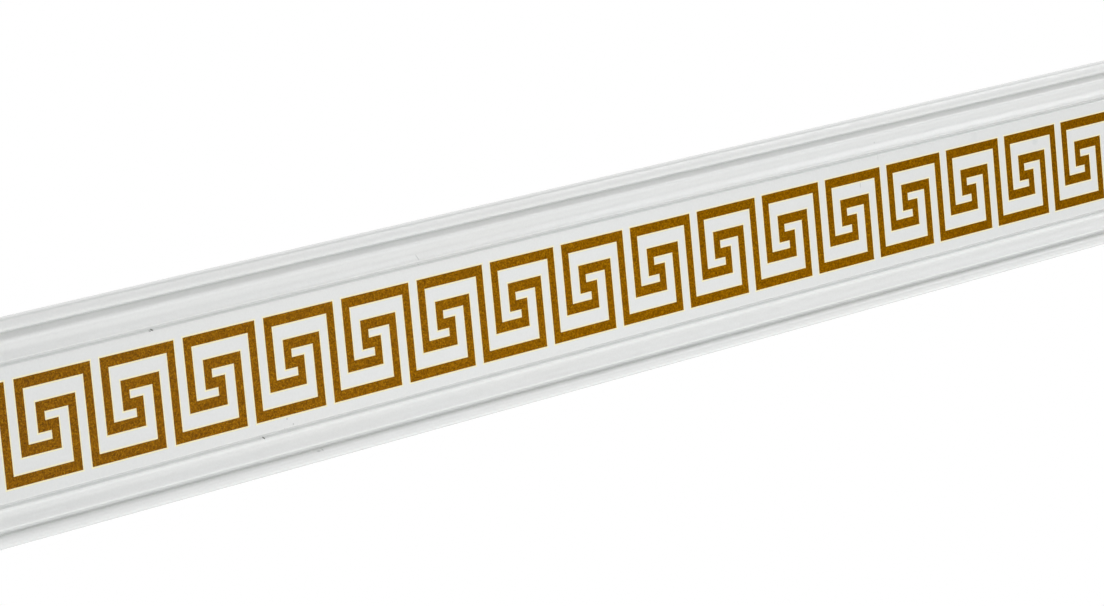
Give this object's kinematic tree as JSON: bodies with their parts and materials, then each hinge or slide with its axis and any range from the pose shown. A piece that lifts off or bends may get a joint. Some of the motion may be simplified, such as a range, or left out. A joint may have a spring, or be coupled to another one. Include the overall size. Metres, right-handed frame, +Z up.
{
  "type": "decorative moulding strip",
  "caption": "Long white moulded trim strip with softly stepped edges either side of a flat band that carries a printed gold Greek key, flat on the back and cut square at both ends.",
  "frame": {"origin": "centre of the flat back face, where the strip is fixed to a wall or rail", "axes": "+X along the strip, +Y out of the back into the wall, +Z up; the printed face looks towards -Y"},
  "size_m": [0.652, 0.006, 0.07],
  "materials": {
    "white_plastic": "smooth semi-gloss extruded plastic, with a flat gold-bronze metallic print on the band"
  },
  "bodies": {
    "root": {"moulding_strip": "white_plastic"}
  },
  "joints": []
}
